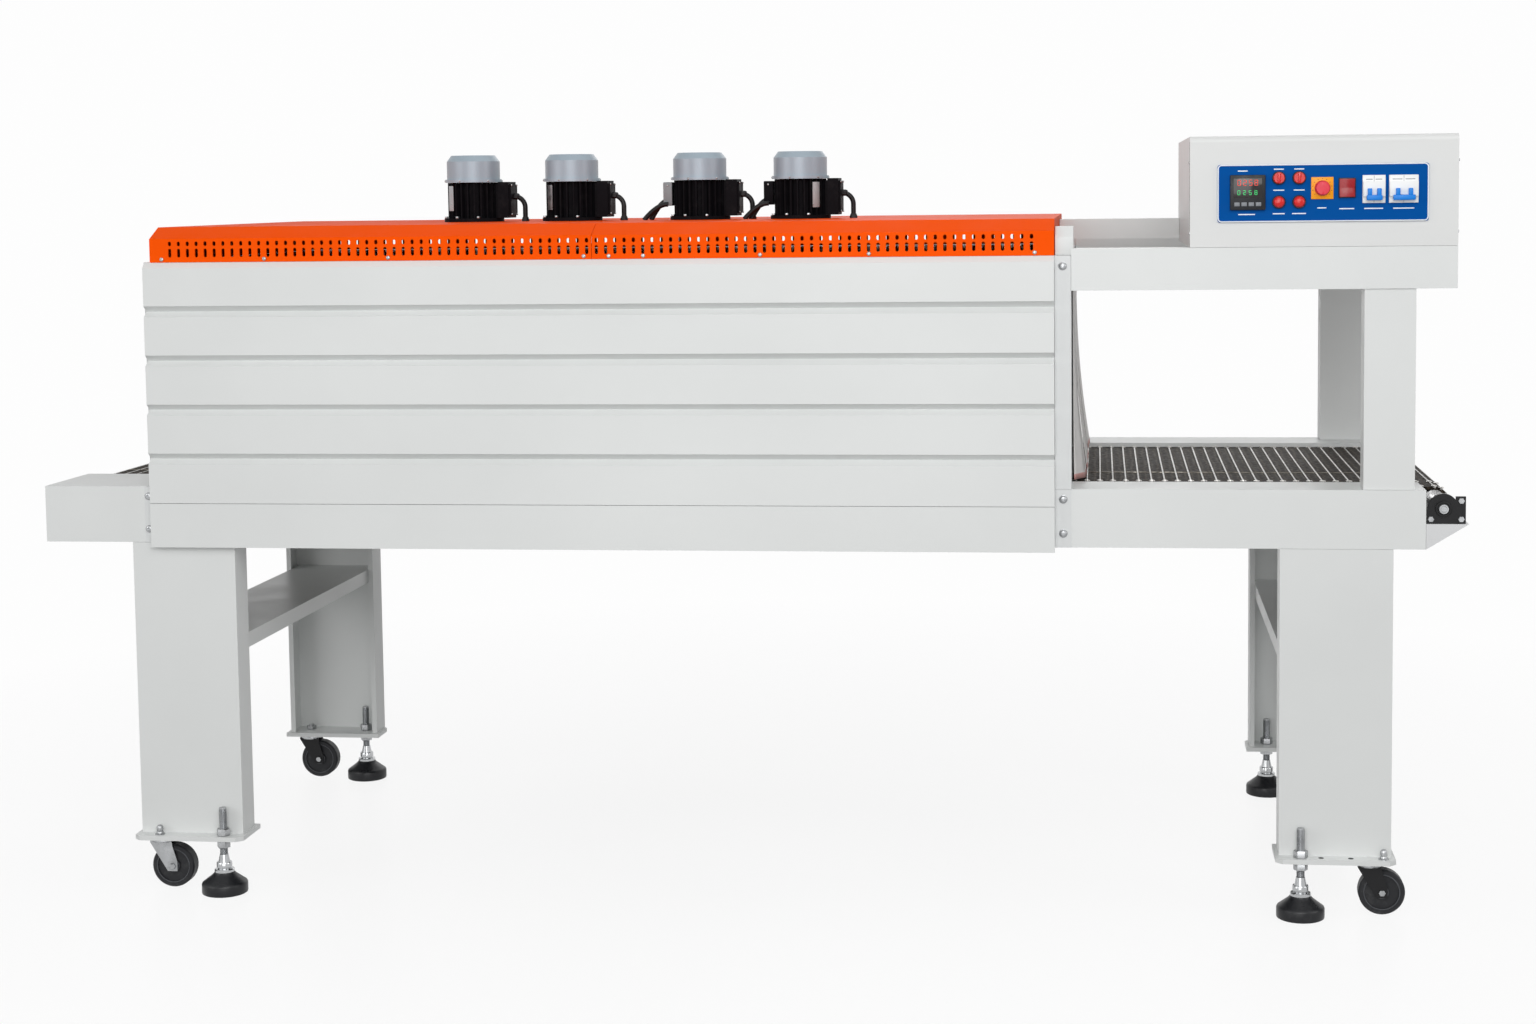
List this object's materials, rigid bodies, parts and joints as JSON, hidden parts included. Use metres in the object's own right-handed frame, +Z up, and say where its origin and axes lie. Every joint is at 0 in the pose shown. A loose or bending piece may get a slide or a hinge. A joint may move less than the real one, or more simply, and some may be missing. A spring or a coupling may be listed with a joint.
{
  "type": "heat shrink tunnel",
  "caption": "Free-standing heat shrink tunnel with a ribbed insulated housing, slotted orange cover, upright blowers, mesh belt conveyor and a control box at the outfeed.",
  "frame": {"origin": "middle of the bounding box at floor level, under the levelling feet", "axes": "+X from infeed to outfeed along the belt, +Y from the operator's side to the back, +Z up"},
  "size_m": [3.06, 1.1679, 1.629],
  "materials": {
    "light_grey_paint": "satin powder coat",
    "grey_sheet": "satin powder coat on sheet",
    "orange_paint": "satin powder coat",
    "black_paint": "black enamel on castings",
    "black_rubber": "matt cable sheath",
    "silver_paint": "silver enamel",
    "black_plastic": "matt moulded plastic",
    "zinc_steel": "zinc plated",
    "blue_panel": "printed film",
    "switch_plastic": "moulded plastic",
    "woven_steel": "used steel mesh",
    "bright_steel": "turned steel",
    "curtain_fabric": "coated glass cloth"
  },
  "bodies": {
    "frame": {"wall_front": "light_grey_paint", "wall_back": "light_grey_paint", "skirt_front": "light_grey_paint", "skirt_back": "light_grey_paint", "roof": "grey_sheet", "end_frame_left": "grey_sheet", "end_frame_right": "grey_sheet", "cover_left": "orange_paint", "cover_right": "orange_paint", "motor_bodies": "black_paint", "fan_caps": "silver_paint", "terminal_boxes": "black_paint", "motor_leads": "black_rubber", "side_beam_front": "light_grey_paint", "side_beam_back": "light_grey_paint", "infeed_guards": "light_grey_paint", "slide_rails": "grey_sheet", "cross_bars": "grey_sheet", "joint_strips": "grey_sheet", "leg_front_left": "light_grey_paint", "leg_front_right": "light_grey_paint", "leg_back_left": "light_grey_paint", "leg_back_right": "light_grey_paint", "stretcher_left": "light_grey_paint", "stretcher_right": "light_grey_paint", "levelling_feet": "black_plastic", "upper_beam_front": "light_grey_paint", "upper_beam_back": "light_grey_paint", "post_front": "light_grey_paint", "post_back": "light_grey_paint", "control_box": "light_grey_paint", "control_panel": "blue_panel", "panel_devices": "switch_plastic", "cable_trunk": "light_grey_paint", "belt": "woven_steel", "end_rollers": "bright_steel", "bearing_plates": "black_paint", "catch_tray": "grey_sheet", "curtain_left": "curtain_fabric", "curtain_right": "curtain_fabric"},
    "swivel_front_left": {"caster_fork_1": "zinc_steel"},
    "wheel_front_left": {"caster_wheel_1": "black_plastic"},
    "swivel_front_right": {"caster_fork_2": "zinc_steel"},
    "wheel_front_right": {"caster_wheel_2": "black_plastic"},
    "swivel_back_left": {"caster_fork_3": "zinc_steel"},
    "wheel_back_left": {"caster_wheel_3": "black_plastic"},
    "swivel_back_right": {"caster_fork_4": "zinc_steel"},
    "wheel_back_right": {"caster_wheel_4": "black_plastic"}
  },
  "joints": [
    {"name": "swivel_turn_front_left", "type": "hinge", "parent": "frame", "child": "swivel_front_left", "pos_m": [-1.29, -0.499, 0.117], "axis": [0, 0, 1], "continuous": true},
    {"name": "wheel_spin_front_left", "type": "hinge", "parent": "swivel_front_left", "child": "wheel_front_left", "pos_m": [-1.266, -0.499, 0.051], "axis": [0, 1, 0], "continuous": true},
    {"name": "swivel_turn_front_right", "type": "hinge", "parent": "frame", "child": "swivel_front_right", "pos_m": [1.336, -0.499, 0.117], "axis": [0, 0, 1], "continuous": true},
    {"name": "wheel_spin_front_right", "type": "hinge", "parent": "swivel_front_right", "child": "wheel_front_right", "pos_m": [1.36, -0.499, 0.051], "axis": [0, 1, 0], "continuous": true},
    {"name": "swivel_turn_back_left", "type": "hinge", "parent": "frame", "child": "swivel_back_left", "pos_m": [-1.29, 0.53, 0.117], "axis": [0, 0, 1], "continuous": true},
    {"name": "wheel_spin_back_left", "type": "hinge", "parent": "swivel_back_left", "child": "wheel_back_left", "pos_m": [-1.266, 0.53, 0.051], "axis": [0, 1, 0], "continuous": true},
    {"name": "swivel_turn_back_right", "type": "hinge", "parent": "frame", "child": "swivel_back_right", "pos_m": [1.336, 0.53, 0.117], "axis": [0, 0, 1], "continuous": true},
    {"name": "wheel_spin_back_right", "type": "hinge", "parent": "swivel_back_right", "child": "wheel_back_right", "pos_m": [1.36, 0.53, 0.051], "axis": [0, 1, 0], "continuous": true}
  ]
}
